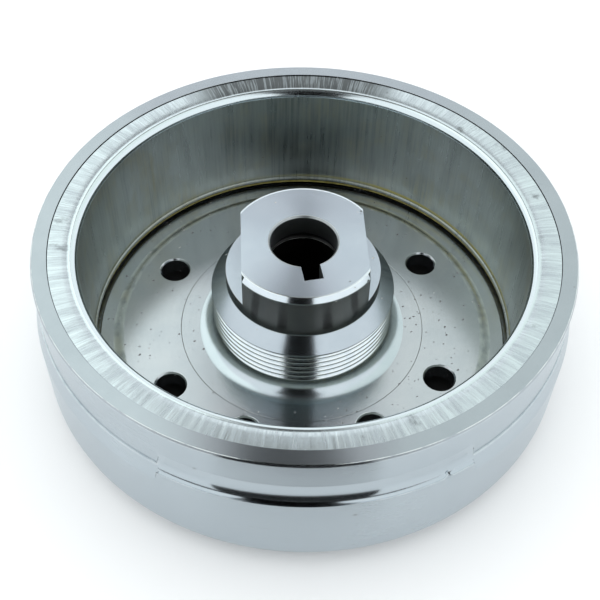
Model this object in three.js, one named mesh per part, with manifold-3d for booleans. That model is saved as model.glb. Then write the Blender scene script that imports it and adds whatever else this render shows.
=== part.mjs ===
// Flywheel of a small engine's generator: a steel cup with magnets round its
// inside wall, seen open side up. Millimetres, +Z up along the shaft axis,
// origin on the axis at the height of the boss's underside.
import * as THREE from 'three';
import { mergeVertices } from 'three/addons/utils/BufferGeometryUtils.js';
import Module from 'manifold-3d';

const wasm = await Module();
wasm.setup();

// ---------- driving dimensions ----------
const ROUND_STEPS = 64;            // flats round a full turn, the same on every ring
const PART_GAP = 0.3;              // clearance between neighbouring pieces

// cup: overall size, walls and bands
const BODY_RADIUS = 57.4;          // lower band and trigger lobe
const RIM_HEIGHT = 36;             // open rim above the boss's underside
const BAND_STEP = 1.3;             // how far the band above the lobe stands back
const LEDGE_DEPTH = 11.8;          // rim down to the lobe's ledge
const LEDGE_WIDTH = 0.15;          // flat part of the ledge
const FILLET_HEIGHT = 3;           // hollow curve from the band down to the ledge
const RELIEF_ABOVE = 1.2;          // long slope that replaces the ledge elsewhere:
const RELIEF_BELOW = 3;            // its two ends, above and below the ledge
const RIM_EDGE = 0.35;             // small bevel on the rim's outer corner
const WALL_THICKNESS = 4.6;        // body radius to the bored inside of the drum
const BASE_CORNER = 5;             // rounding at the foot of the drum
const BASE_LIFT = 2.7;             // cup's underside above the boss's underside
const FLOOR_THICKNESS = 4.1;
const UNDERCUT_DEPTH = 1.2;        // channel in the floor along the wall
const UNDERCUT_REACH = 1.6;        // how far the channel runs in past the sleeve
const STEP_FROM_SLEEVE = 5.1;      // where the floor steps down, measured in from the sleeve
const STEP_WIDTH = 1.5;
const STEP_DROP = 0.5;

// trigger lobe, centred on the -Y side
const LOBE_HALF_ANGLE = 31;        // degrees

// clutch bolt holes
const BOLTS_FROM_FLANGE = 6.5;     // hole centres, measured out from the boss's flange
const BOLT_HOLE_ANGLES = [-150, -30, 30, 90, 150];
const PAIR_FROM_FLANGE = 4.7;
const PAIR_HOLE_ANGLES = [-115, -65];
const BOLT_HOLE_RADIUS = 3.3;
const HOLE_BEVEL = 0.35;
const HOLE_STEPS = 24;

// boss
const FLANGE_RADIUS = 27.5;
const NECK_RADIUS = 18.6;
const FOOT_FILLET = 3.6;
const NECK_LENGTH = 0.3;           // straight stretch between the fillet and the thread
const THREAD_RADIUS = 20;
const THREAD_PITCH = 1.5;
const THREAD_DEPTH = 0.75;
const THREAD_CRESTS = 6;
const CREST_WIDTH = 0.2;
const NOSE_RADIUS = 16.7;
const SHOULDER_DROP = 2.7;         // cone from the nose down to the thread
const NOSE_LENGTH = 11;
const NOSE_BEVEL_OUT = 0.8;
const NOSE_BEVEL_DOWN = 1.1;
const ACROSS_FLATS = 26.3;
const FLATS_LENGTH = 8;            // from the nose's end down to the flats' ledges
const BORE_RADIUS = 7.1;
const BORE_BEVEL = 0.35;
const BORE_LAND = 5;               // straight length at the bore's mouth
const BORE_RELIEF_RADIUS = 8.3;
const BORE_RELIEF_LENGTH = 2;
const TAPER_TOP_RADIUS = 7.6;
const TAPER_FOOT_RADIUS = 9.8;
const KEYWAY_WIDTH = 4;
const KEYWAY_REACH = 11.1;         // keyway's far wall from the axis
const KEYWAY_ANGLE = -82;          // degrees

// magnets, spacers and the rings that hold them
const MAGNET_COUNT = 12;
const MAGNET_THICKNESS = 4.5;
const SPACER_ANGLE = 3;            // degrees
const SLEEVE_THICKNESS = 0.8;
const SLEEVE_END_ABOVE_FLOOR = 0.8;
const FOOT_LIP_HEIGHT = 1;         // small inward lip at the sleeve's lower end
const FOOT_LIP_REACH = 0.45;
const FLANGE_SINK = 0.15;          // sleeve's flange below the rim
const LIP_WIDTH = 1.5;             // smooth rolled lip at the sleeve's mouth
const LIP_RADIUS = 1.3;
const FLANGE_DISH = 0.45;          // flange's fall from its outer edge to the lip
const SEAT_RING_HEIGHT = 2.4;
const BEAD_HEIGHT = 0.7;
const ARC_STEPS = 6;               // flats along a magnet's arc

// ---------- sizes that follow ----------
const floorTop = BASE_LIFT + FLOOR_THICKNESS;
const bandRadius = BODY_RADIUS - BAND_STEP;
const wallInside = BODY_RADIUS - WALL_THICKNESS;
const magnetOuter = wallInside - PART_GAP;
const magnetInner = magnetOuter - MAGNET_THICKNESS;
const sleeveOuter = magnetInner - PART_GAP;
const sleeveInner = sleeveOuter - SLEEVE_THICKNESS;
const sleeveFoot = floorTop + SLEEVE_END_ABOVE_FLOOR;
const flangeTop = RIM_HEIGHT - FLANGE_SINK;
const channelFloor = floorTop - UNDERCUT_DEPTH;
const seatBottom = channelFloor + PART_GAP;
const magnetBottom = seatBottom + SEAT_RING_HEIGHT + PART_GAP;
const magnetTop = flangeTop - FLANGE_DISH - SLEEVE_THICKNESS - PART_GAP;
const stepRadius = sleeveInner - STEP_FROM_SLEEVE;
const outerFloor = floorTop - STEP_DROP;
const ledgeTop = RIM_HEIGHT - LEDGE_DEPTH;
const boltCircleRadius = FLANGE_RADIUS + BOLTS_FROM_FLANGE;
const pairCircleRadius = FLANGE_RADIUS + PAIR_FROM_FLANGE;
const threadFoot = floorTop + FOOT_FILLET + NECK_LENGTH;
const threadTop = threadFoot + THREAD_PITCH * THREAD_CRESTS;
const noseFoot = threadTop + SHOULDER_DROP;
const noseTop = noseFoot + NOSE_LENGTH;
const flatsFoot = noseTop - FLATS_LENGTH;
const radians = THREE.MathUtils.degToRad;

// ---------- small helpers ----------
function arcPoints(centreR, centreZ, radius, fromDegrees, toDegrees, steps) {
  const points = [];
  for (let i = 0; i <= steps; i += 1) {
    const angle = radians(fromDegrees + ((toDegrees - fromDegrees) * i) / steps);
    points.push([centreR + radius * Math.cos(angle), centreZ + radius * Math.sin(angle)]);
  }
  return points;
}

function toSolid(geometry) {
  const bare = geometry.index ? geometry.clone() : geometry;
  bare.deleteAttribute('normal');
  bare.deleteAttribute('uv');
  const merged = mergeVertices(bare, 1e-5);
  return new wasm.Manifold(new wasm.Mesh({
    numProp: 3,
    vertProperties: Float32Array.from(merged.attributes.position.array),
    triVerts: Uint32Array.from(merged.index.array),
  }));
}

function toGeometry(solid) {
  const { vertProperties, triVerts } = solid.getMesh();
  const geometry = new THREE.BufferGeometry();
  geometry.setAttribute('position', new THREE.BufferAttribute(vertProperties, 3));
  geometry.setIndex(new THREE.BufferAttribute(triVerts, 1));
  geometry.computeVertexNormals();
  return geometry;
}

// A closed outline of [radius, height] points, listed anticlockwise, turned about the axis.
function turned(outline) {
  const closed = [...outline, outline[0]].map(([r, z]) => new THREE.Vector2(r, z));
  return toSolid(new THREE.LatheGeometry(closed, ROUND_STEPS).rotateX(Math.PI / 2));
}

function prism(outline, bottom, height) {
  const shape = new THREE.Shape(outline.map(([x, y]) => new THREE.Vector2(x, y)));
  const geometry = new THREE.ExtrudeGeometry(shape, { depth: height, bevelEnabled: false });
  return toSolid(geometry.translate(0, 0, bottom));
}

function upright(radiusTop, radiusBottom, bottom, height, steps) {
  const geometry = new THREE.CylinderGeometry(radiusTop, radiusBottom, height, steps);
  return geometry.rotateX(Math.PI / 2).translate(0, 0, bottom + height / 2);
}

function sector(innerRadius, outerRadius, fromDegrees, toDegrees, steps) {
  return [
    ...arcPoints(0, 0, outerRadius, fromDegrees, toDegrees, steps),
    ...arcPoints(0, 0, innerRadius, toDegrees, fromDegrees, steps),
  ];
}

// ---------- rotor cup ----------
function cupSolid() {
  const outline = [
    [FLANGE_RADIUS + PART_GAP, BASE_LIFT],
    ...arcPoints(BODY_RADIUS - BASE_CORNER, BASE_LIFT + BASE_CORNER, BASE_CORNER, -90, 0, 5),
    [BODY_RADIUS, ledgeTop],
    ...ledgeFillet(),
    [bandRadius, RIM_HEIGHT - RIM_EDGE],
    [bandRadius - RIM_EDGE, RIM_HEIGHT],
    [wallInside, RIM_HEIGHT],
    [wallInside, channelFloor],
    [sleeveInner - UNDERCUT_REACH, channelFloor],
    [sleeveInner - UNDERCUT_REACH, outerFloor],
    [stepRadius + STEP_WIDTH / 2, outerFloor],
    [stepRadius - STEP_WIDTH / 2, floorTop],
    [FLANGE_RADIUS + PART_GAP, floorTop],
  ];
  return turned(outline).subtract(reliefCutter()).subtract(holeCutters());
}

// Quarter of an ellipse, hollow side out, from the ledge's flat up to the band.
function ledgeFillet() {
  const reach = BAND_STEP - LEDGE_WIDTH;
  return arcPoints(0, 0, 1, -90, -180, 4).map(([across, down]) => [
    bandRadius + reach * (1 + across),
    ledgeTop + FILLET_HEIGHT * (1 + down),
  ]);
}

// Takes the ledge away everywhere but on the lobe, leaving one long slope.
function reliefCutter() {
  const outside = BODY_RADIUS + 2;
  const slopeTop = ledgeTop + RELIEF_ABOVE;
  const slopeFoot = ledgeTop - RELIEF_BELOW;
  const steepness = (slopeTop - slopeFoot) / (BODY_RADIUS - bandRadius);
  const ring = turned([
    [outside, slopeFoot - (outside - BODY_RADIUS) * steepness],
    [outside, RIM_HEIGHT],
    [bandRadius, RIM_HEIGHT],
    [bandRadius, slopeTop],
  ]);
  const reach = 2 * BODY_RADIUS;
  const half = radians(LOBE_HALF_ANGLE);
  const wedge = prism(
    [[0, 0], [-reach * Math.sin(half), -reach * Math.cos(half)], [reach * Math.sin(half), -reach * Math.cos(half)]],
    0,
    RIM_HEIGHT,
  );
  return ring.subtract(wedge);
}

function holeCutters() {
  const places = [
    ...BOLT_HOLE_ANGLES.map((angle) => [boltCircleRadius, angle]),
    ...PAIR_HOLE_ANGLES.map((angle) => [pairCircleRadius, angle]),
  ];
  const drill = toSolid(upright(BOLT_HOLE_RADIUS, BOLT_HOLE_RADIUS, 0, floorTop + 2, HOLE_STEPS));
  const mouth = BOLT_HOLE_RADIUS + HOLE_BEVEL;
  const sink = toSolid(upright(mouth + 1, BOLT_HOLE_RADIUS, floorTop - HOLE_BEVEL, HOLE_BEVEL + 1, HOLE_STEPS));
  const cutter = drill.add(sink);
  return places
    .map(([radius, angle]) => cutter.translate([
      radius * Math.cos(radians(angle)),
      radius * Math.sin(radians(angle)),
      0,
    ]))
    .reduce((all, one) => all.add(one));
}

// ---------- boss ----------
function bossSolid() {
  const thread = [];
  for (let i = 0; i < THREAD_CRESTS; i += 1) {
    const root = threadFoot + THREAD_PITCH * i;
    const crest = root + THREAD_PITCH / 2;
    thread.push([THREAD_RADIUS - THREAD_DEPTH, root]);
    thread.push([THREAD_RADIUS, crest - CREST_WIDTH / 2]);
    thread.push([THREAD_RADIUS, crest + CREST_WIDTH / 2]);
  }
  const boreMouth = BORE_RADIUS + BORE_BEVEL;
  const landFoot = noseTop - BORE_LAND;
  const outline = [
    [TAPER_FOOT_RADIUS, 0],
    [FLANGE_RADIUS, 0],
    [FLANGE_RADIUS, floorTop],
    ...arcPoints(NECK_RADIUS + FOOT_FILLET, floorTop + FOOT_FILLET, FOOT_FILLET, -90, -180, 6),
    ...thread,
    [THREAD_RADIUS, threadTop],
    [NOSE_RADIUS, noseFoot],
    [NOSE_RADIUS, noseTop - NOSE_BEVEL_DOWN],
    [NOSE_RADIUS - NOSE_BEVEL_OUT, noseTop],
    [boreMouth, noseTop],
    [BORE_RADIUS, noseTop - BORE_BEVEL],
    [BORE_RADIUS, landFoot],
    [BORE_RELIEF_RADIUS, landFoot],
    [BORE_RELIEF_RADIUS, landFoot - BORE_RELIEF_LENGTH],
    [TAPER_TOP_RADIUS, landFoot - BORE_RELIEF_LENGTH],
  ];
  return turned(outline).subtract(flatCutters()).subtract(keywayCutter());
}

function flatCutters() {
  const far = 2 * NOSE_RADIUS;
  const side = (sign) => prism(
    [[sign * ACROSS_FLATS / 2, -far], [sign * far, -far], [sign * far, far], [sign * ACROSS_FLATS / 2, far]],
    flatsFoot,
    noseTop,
  );
  return side(1).add(side(-1));
}

function keywayCutter() {
  const half = KEYWAY_WIDTH / 2;
  const slot = prism([[0, -half], [KEYWAY_REACH, -half], [KEYWAY_REACH, half], [0, half]], -1, noseTop + 2);
  return slot.rotate([0, 0, KEYWAY_ANGLE]);
}

// ---------- magnet sleeve ----------
function sleeveSolid() {
  const lipTop = flangeTop - FLANGE_DISH;
  const outerBend = LIP_RADIUS + SLEEVE_THICKNESS;
  const bendCentreR = sleeveInner + outerBend;
  const bendCentreZ = lipTop - outerBend;
  const flatStart = Math.max(bendCentreR, sleeveInner + LIP_WIDTH);
  return turned([
    [sleeveInner, sleeveFoot + FOOT_LIP_HEIGHT],
    [sleeveInner - FOOT_LIP_REACH, sleeveFoot + FOOT_LIP_HEIGHT * 0.75],
    [sleeveInner - FOOT_LIP_REACH, sleeveFoot + FOOT_LIP_HEIGHT * 0.25],
    [sleeveInner - FOOT_LIP_REACH / 2, sleeveFoot],
    [sleeveOuter, sleeveFoot],
    ...arcPoints(bendCentreR, bendCentreZ, LIP_RADIUS, 180, 90, 4),
    [flatStart, lipTop - SLEEVE_THICKNESS],
    [magnetOuter, flangeTop - SLEEVE_THICKNESS],
    [magnetOuter, flangeTop],
    [flatStart, lipTop],
    ...arcPoints(bendCentreR, bendCentreZ, outerBend, 90, 180, 5),
  ].filter(([r, z], i, all) => i === 0 || Math.hypot(r - all[i - 1][0], z - all[i - 1][1]) > 1e-3));
}

// ---------- magnets, spacers and rings ----------
const pitchAngle = 360 / MAGNET_COUNT;

function magnetSolid(index) {
  const gapAngle = THREE.MathUtils.radToDeg(PART_GAP / magnetInner);
  const start = index * pitchAngle + SPACER_ANGLE / 2 + gapAngle;
  const end = (index + 1) * pitchAngle - SPACER_ANGLE / 2 - gapAngle;
  const bend = LIP_RADIUS + PART_GAP;
  const blank = prism(sector(magnetInner, magnetOuter, start, end, ARC_STEPS), magnetBottom, magnetTop - magnetBottom);
  return blank.subtract(lipClearance(bend));
}

function spacerSolid(index) {
  const middle = index * pitchAngle;
  const half = SPACER_ANGLE / 2;
  const blank = prism(sector(magnetInner, magnetOuter, middle - half, middle + half, 2), magnetBottom, magnetTop - magnetBottom);
  return blank.subtract(lipClearance(LIP_RADIUS + PART_GAP));
}

// Room for the bend under the sleeve's lip, taken off the top inner corner.
function lipClearance(size) {
  return turned([
    [magnetInner - 1, magnetTop - size],
    [magnetInner, magnetTop - size],
    [magnetInner + size, magnetTop],
    [magnetInner + size, magnetTop + 1],
    [magnetInner - 1, magnetTop + 1],
  ]);
}

function seatRingSolid() {
  return turned([
    [magnetInner, seatBottom],
    [magnetOuter, seatBottom],
    [magnetOuter, seatBottom + SEAT_RING_HEIGHT],
    [magnetInner, seatBottom + SEAT_RING_HEIGHT],
  ]);
}

function resinBeadSolid() {
  const top = sleeveFoot - PART_GAP;
  return turned([
    [sleeveInner - 0.2, top - BEAD_HEIGHT],
    [sleeveOuter, top - BEAD_HEIGHT],
    [sleeveOuter, top],
    [sleeveInner, top],
  ]);
}

// ---------- assembly ----------
const steel = { color: 0xb4b7bd, roughness: 0.3, metalness: 1 };
const finishes = {
  rotor_cup: steel,
  boss: { color: 0xa9a9b0, roughness: 0.25, metalness: 1 },
  magnet_sleeve: { color: 0x9aa19b, roughness: 0.22, metalness: 1 },
  magnet: { color: 0x2f3133, roughness: 0.6, metalness: 0.2 },
  spacer: { color: 0x1d1e20, roughness: 0.55, metalness: 0 },
  seat_ring: { color: 0x202124, roughness: 0.55, metalness: 0 },
  resin_bead: { color: 0x8d8436, roughness: 0.35, metalness: 0 },
};

const flywheel = new THREE.Group();

function addPiece(name, solid, finish) {
  const mesh = new THREE.Mesh(toGeometry(solid), new THREE.MeshStandardMaterial(finishes[finish]));
  mesh.name = name;
  flywheel.add(mesh);
}

addPiece('rotor_cup', cupSolid(), 'rotor_cup');
addPiece('boss', bossSolid(), 'boss');
addPiece('magnet_sleeve', sleeveSolid(), 'magnet_sleeve');
addPiece('magnet_seat_ring', seatRingSolid(), 'seat_ring');
addPiece('resin_bead', resinBeadSolid(), 'resin_bead');
for (let i = 0; i < MAGNET_COUNT; i += 1) {
  const label = String(i + 1).padStart(2, '0');
  addPiece(`magnet_${label}`, magnetSolid(i), 'magnet');
  addPiece(`magnet_spacer_${label}`, spacerSolid(i), 'spacer');
}

export default flywheel;
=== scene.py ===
# %% [markdown]
# # A generator flywheel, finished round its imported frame
#
# The real part is a steel cup with magnets glued round the inside of its wall. A turned boss with an
# outside thread is pressed into the floor, and a thin drawn sleeve covers the magnets. The frame holds
# the sizes. Here every surface that shows is worked out again as a smooth grid of points, and each
# steel gets the finish that its own machining leaves.

import math
from collections import namedtuple

import bmesh
import bpy
import numpy as np
from mathutils import Matrix, Vector


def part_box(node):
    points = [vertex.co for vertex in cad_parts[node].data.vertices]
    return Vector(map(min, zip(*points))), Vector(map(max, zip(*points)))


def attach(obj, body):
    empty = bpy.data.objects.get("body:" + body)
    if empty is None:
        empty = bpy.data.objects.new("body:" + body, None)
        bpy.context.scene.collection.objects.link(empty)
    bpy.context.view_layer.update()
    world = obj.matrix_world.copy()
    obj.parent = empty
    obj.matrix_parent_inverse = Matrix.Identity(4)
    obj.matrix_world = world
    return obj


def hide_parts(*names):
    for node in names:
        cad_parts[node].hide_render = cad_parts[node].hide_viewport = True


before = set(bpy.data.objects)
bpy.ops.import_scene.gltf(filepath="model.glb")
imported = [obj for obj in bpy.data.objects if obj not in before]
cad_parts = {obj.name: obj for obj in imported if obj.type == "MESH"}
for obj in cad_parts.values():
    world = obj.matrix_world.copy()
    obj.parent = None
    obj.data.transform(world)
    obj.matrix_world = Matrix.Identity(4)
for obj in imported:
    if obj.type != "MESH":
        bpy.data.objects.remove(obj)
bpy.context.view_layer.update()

# %% [markdown]
# ## Sizes
#
# Sizes are in millimetres, because that is how a turner reads the drawing, and they are scaled to
# metres only when a mesh is made. The main ones are read from the frame's boxes. The small breaks on
# edges are this script's own: a turned edge is never dead sharp, and the thin line of light along a
# break is what makes steel look like steel.

# %% Main sizes, in millimetres
MM = 0.001


def box_mm(node):
    """Lowest and highest corner of a frame node, in millimetres."""
    low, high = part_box(node)
    return np.array(low) / MM, np.array(high) / MM


cup_low, cup_high = box_mm("rotor_cup")
boss_high = box_mm("boss")[1]
sleeve_low, sleeve_high = box_mm("magnet_sleeve")
bead_low, bead_high = box_mm("resin_bead")

body_radius = cup_high[0]
rim_top = cup_high[2]
cup_foot = cup_low[2]
flange_radius = boss_high[0]
boss_top = boss_high[2]
sleeve_edge = sleeve_high[0]
sleeve_top = sleeve_high[2]
sleeve_foot = sleeve_low[2]

band_radius = body_radius - 1.3
ledge_top = rim_top - 11.8
floor_top = cup_foot + 4.1
outer_floor = floor_top - 0.5
channel_floor = floor_top - 1.2
wall_inside = sleeve_edge + 0.3
sleeve_inner = sleeve_edge - 5.6
SLEEVE_GAUGE = 0.8
print("body radius", round(body_radius, 2), "rim", round(rim_top, 2), "boss top", round(boss_top, 2))

# %% [markdown]
# ## Grids of points
#
# Every new piece is a grid: rows run along the profile and columns run round the axis. A corner of a
# profile is written as a point with a break, and the break becomes a short curve. Working with whole
# arrays keeps this short and quick, and it gives clean rings of faces that shade well.


# %% Profiles and grids
def rounded(points, steps=4):
    """Open outline through (radius, height, break) points.

    A corner with a break becomes a quadratic curve: it starts and ends one break away from the corner
    and is pulled towards it. Returns the points, and for each one how far it lies in a break, 0 to 1.
    """
    outline = []
    wear = []
    for index, (radius, height, size) in enumerate(points):
        corner = np.array([radius, height])
        if size == 0 or index in (0, len(points) - 1):
            outline.append(corner)
            wear.append(0.0)
            continue
        before = np.array(points[index - 1][:2]) - corner
        after = np.array(points[index + 1][:2]) - corner
        start = corner + before / np.linalg.norm(before) * size
        end = corner + after / np.linalg.norm(after) * size
        t = np.linspace(0, 1, steps + 1)[:, None]
        curve = (1 - t) ** 2 * start + 2 * t * (1 - t) * corner + t**2 * end
        outline.extend(curve)
        wear.extend(np.sin(np.pi * t[:, 0]))
    return np.array(outline), np.array(wear)


def arc(centre_radius, centre_height, radius, start, end, steps):
    """Points of a circle's arc, from one angle to another in degrees, each with no break."""
    angle = np.radians(np.linspace(start, end, steps + 1))
    across = centre_radius + radius * np.cos(angle)
    up = centre_height + radius * np.sin(angle)
    return [(a, u, 0) for a, u in zip(across, up)]


def revolve(radius, height, degrees):
    """Points at each radius and height, turned to each angle: x = r cos a, y = r sin a, z = h."""
    angle = np.radians(degrees)[None, :]
    radius = np.broadcast_to(radius, (radius.shape[0], angle.shape[1]))
    height = np.broadcast_to(height, radius.shape)
    return np.stack([radius * np.cos(angle), radius * np.sin(angle), height], axis=-1)


def turn_from(columns, place):
    """Degrees from a place round the axis to each column, between -180 and 180."""
    return (columns - place + 180) % 360 - 180


def eased(amount):
    """Held between 0 and 1 and eased at both ends: amount squared times (3 less twice the amount)."""
    amount = np.clip(amount, 0, 1)
    return amount * amount * (3 - 2 * amount)


def grid_faces(rows, columns, round_rows=False, round_columns=True):
    """Corner numbers of the quads of a grid, as one array of four columns."""
    row = np.arange(rows if round_rows else rows - 1)[:, None]
    column = np.arange(columns if round_columns else columns - 1)[None, :]
    next_row = (row + 1) % rows
    next_column = (column + 1) % columns
    corners = [
        row * columns + column,
        row * columns + next_column,
        next_row * columns + next_column,
        next_row * columns + column,
    ]
    return np.stack(corners, axis=-1).reshape(-1, 4)


# %% [markdown]
# ## From grids to a piece
#
# Neighbouring grids share their border points, so one merge closes the shell. Flat faces next to a
# narrow break would shade unevenly if every face counted the same, so the normal at each point is the
# mean of its faces by area: wide flats stay flat and only the break turns.


# %% Make a piece from grids
def area_normals(points, corners):
    """Normal at each point: the sum of the cross products of its faces' edges, which weighs by area."""
    a, b, c = (points[corners[:, k]] for k in range(3))
    cross = np.cross(b - a, c - a)
    total = np.zeros_like(points)
    for k in range(3):
        np.add.at(total, corners[:, k], cross)
    length = np.linalg.norm(total, axis=1, keepdims=True)
    return total / np.maximum(length, 1e-20)


def place_object(name, data):
    """A new object in the scene that holds the given data."""
    placed = bpy.data.objects.new(name, data)
    bpy.context.scene.collection.objects.link(placed)
    return placed


def make_piece(name, grids, materials, nodes):
    """One closed mesh from grids. A grid is (points in mm, faces, edge wear, material number)."""
    points = np.concatenate([g[0].reshape(-1, 3) for g in grids]) * MM
    counts = np.cumsum([0] + [g[0].reshape(-1, 3).shape[0] for g in grids])
    faces = np.concatenate([g[1] + start for g, start in zip(grids, counts)])
    wear = np.concatenate([np.broadcast_to(g[2], g[0].shape[:-1]).reshape(-1) for g in grids])
    finish = np.concatenate([np.broadcast_to(g[3], len(g[1])) for g in grids])
    mesh = bpy.data.meshes.new(name)
    mesh.from_pydata(points, [], faces)
    mesh.attributes.new("edge", "FLOAT", "POINT").data.foreach_set("value", wear.astype(np.float32))
    mesh.polygons.foreach_set("material_index", finish.astype(np.int32))
    shell = bmesh.new()
    shell.from_mesh(mesh)
    bmesh.ops.remove_doubles(shell, verts=shell.verts, dist=0.0008 * MM)
    bmesh.ops.recalc_face_normals(shell, faces=shell.faces)
    open_edges = sum(not edge.is_manifold for edge in shell.edges)
    volume = shell.calc_volume(signed=True)
    shell.to_mesh(mesh)
    shell.free()
    mesh.shade_smooth()
    smooth_by_area(mesh)
    for material in materials:
        mesh.materials.append(material)
    piece = place_object(name, mesh)
    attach(piece, "root")
    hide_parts(*nodes)
    mesh.calc_loop_triangles()
    print(f"{name}: {len(mesh.loop_triangles)} triangles, {open_edges} open edges, {volume * 1e6:.2f} cm3")
    return piece


def smooth_by_area(mesh):
    """Gives the mesh its area-weighted normals."""
    mesh.calc_loop_triangles()
    points = np.empty(len(mesh.vertices) * 3)
    mesh.vertices.foreach_get("co", points)
    corners = np.empty(len(mesh.loop_triangles) * 3, np.int32)
    mesh.loop_triangles.foreach_get("vertices", corners)
    normals = area_normals(points.reshape(-1, 3), corners.reshape(-1, 3))
    mesh.normals_split_custom_set_from_vertices(normals.tolist())


# %% [markdown]
# ## Shared finishes
#
# A steel's look is mostly its machining. Turning leaves fine rings round the axis, drawing leaves
# streaks along the pull, grinding leaves grain, and handling leaves small specks and marks. Each of
# these is one node group with its own sizes in millimetres, and each material sets them as it needs.


# %% Node helpers
def add(tree, kind, **settings):
    """Adds a node and sets its plain properties."""
    node = tree.nodes.new(kind)
    for key, value in settings.items():
        setattr(node, key, value)
    return node


def feed(tree, socket, source):
    """Sets a socket to a number or a colour, or links it to another node's output."""
    if isinstance(source, bpy.types.NodeSocket):
        tree.links.new(source, socket)
    else:
        socket.default_value = source


def maths(tree, operation, first, second=0.0, third=0.0, clamp=False):
    """One sum on numbers, as a Math node. Returns its output."""
    node = add(tree, "ShaderNodeMath", operation=operation, use_clamp=clamp)
    for socket, source in zip(node.inputs, (first, second, third)):
        feed(tree, socket, source)
    return node.outputs[0]


def times(tree, first, second, clamp=False):
    """Product of two numbers."""
    return maths(tree, "MULTIPLY", first, second, clamp=clamp)


def scaled(tree, value, gain, base):
    """A number times a gain, plus a base."""
    return maths(tree, "MULTIPLY_ADD", value, gain, base)


def ramp(tree, value, low, high, to_low=0.0, to_high=1.0):
    """A number eased from one range to another, as a smooth Map Range node. Returns its output."""
    node = add(tree, "ShaderNodeMapRange", interpolation_type="SMOOTHSTEP")
    for label, source in (
        ("Value", value), ("From Min", low), ("From Max", high), ("To Min", to_low), ("To Max", to_high),
    ):
        feed(tree, node.inputs[label], source)
    return node.outputs["Result"]


def blend_colours(tree, amount, first, second):
    """Colour that goes from the first to the second as the amount goes from 0 to 1."""
    node = add(tree, "ShaderNodeMix", data_type="RGBA")
    feed(tree, node.inputs["Factor"], amount)
    feed(tree, node.inputs["A"], first)
    feed(tree, node.inputs["B"], second)
    return node.outputs["Result"]


def layered(tree, colour, *layers):
    """Lays colours over a first one. A layer is (mask, strength, colour)."""
    for mask, strength, over in layers:
        amount = mask if strength == 1 else times(tree, mask, strength)
        colour = blend_colours(tree, amount, colour, over)
    return colour


def new_group(name, inputs, outputs):
    """An empty shader group with named number sockets. Returns its tree, input node and output node."""
    tree = bpy.data.node_groups.new(name, "ShaderNodeTree")
    for label, value in inputs.items():
        socket = tree.interface.new_socket(label, in_out="INPUT", socket_type="NodeSocketFloat")
        socket.default_value = value
    for label in outputs:
        tree.interface.new_socket(label, in_out="OUTPUT", socket_type="NodeSocketFloat")
    return tree, tree.nodes.new("NodeGroupInput"), tree.nodes.new("NodeGroupOutput")


AxisPlace = namedtuple("AxisPlace", "radius height x y")


def axis_coordinates(tree):
    """Millimetres from the axis, millimetres up, and the unit direction from the axis as x and y."""
    place = add(tree, "ShaderNodeTexCoord").outputs["Object"]
    split = add(tree, "ShaderNodeSeparateXYZ")
    tree.links.new(place, split.inputs[0])
    flat = add(tree, "ShaderNodeCombineXYZ")
    tree.links.new(split.outputs["X"], flat.inputs["X"])
    tree.links.new(split.outputs["Y"], flat.inputs["Y"])
    length = add(tree, "ShaderNodeVectorMath", operation="LENGTH")
    tree.links.new(flat.outputs[0], length.inputs[0])
    metres = length.outputs["Value"]
    radius = times(tree, metres, 1 / MM)
    height = times(tree, split.outputs["Z"], 1 / MM)
    x = maths(tree, "DIVIDE", split.outputs["X"], metres)
    y = maths(tree, "DIVIDE", split.outputs["Y"], metres)
    return AxisPlace(radius, height, x, y)


def noise(tree, vector, detail=3.0, roughness=0.55):
    """Noise texture at scale 1, because the coordinates already hold the size. Returns its value."""
    node = add(tree, "ShaderNodeTexNoise")
    tree.links.new(vector, node.inputs["Vector"])
    node.inputs["Scale"].default_value = 1.0
    node.inputs["Detail"].default_value = detail
    node.inputs["Roughness"].default_value = roughness
    return node.outputs[0]


def vector_of(tree, x, y, z=0.0):
    """Three numbers joined to a vector."""
    node = add(tree, "ShaderNodeCombineXYZ")
    for socket, source in zip(node.inputs, (x, y, z)):
        feed(tree, socket, source)
    return node.outputs[0]


def millimetre_place(tree, size):
    """Object coordinates divided by a size in millimetres."""
    place = add(tree, "ShaderNodeTexCoord").outputs["Object"]
    scale = add(tree, "ShaderNodeVectorMath", operation="SCALE")
    tree.links.new(place, scale.inputs[0])
    feed(tree, scale.inputs["Scale"], maths(tree, "DIVIDE", 1 / MM, size))
    return scale.outputs["Vector"]


# %% Group: rings left by a lathe tool
def build_turning_rings():
    """Noise over (radius, height): it changes along the profile and hardly at all round the axis."""
    tree, given, made = new_group("Turning rings", {"Spacing": 0.3, "Wander": 0.4}, ["Height"])
    at = axis_coordinates(tree)
    along = maths(tree, "DIVIDE", at.radius, given.outputs["Spacing"])
    up = maths(tree, "DIVIDE", at.height, given.outputs["Spacing"])
    drift = times(tree, at.x, given.outputs["Wander"])
    value = noise(tree, vector_of(tree, along, up, drift), detail=2.0)
    tree.links.new(value, made.inputs["Height"])
    return tree


turning_rings = build_turning_rings()
print("group", turning_rings.name)


# %% Group: streaks along the pull of the press
def build_streaks():
    """Noise over the direction round the axis, squeezed, and the distance along the pull, stretched."""
    tree, given, made = new_group("Drawn streaks", {"Width": 0.4, "Run": 20.0}, ["Mask"])
    at = axis_coordinates(tree)
    density = maths(tree, "DIVIDE", sleeve_inner, given.outputs["Width"])
    along = maths(tree, "DIVIDE", maths(tree, "ADD", at.radius, at.height), given.outputs["Run"])
    across_x = times(tree, at.x, density)
    across_y = times(tree, at.y, density)
    value = noise(tree, vector_of(tree, across_x, across_y, along), detail=4.0, roughness=0.6)
    tree.links.new(ramp(tree, value, 0.3, 0.7), made.inputs["Mask"])
    return tree


drawn_streaks = build_streaks()
print("group", drawn_streaks.name)


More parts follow.
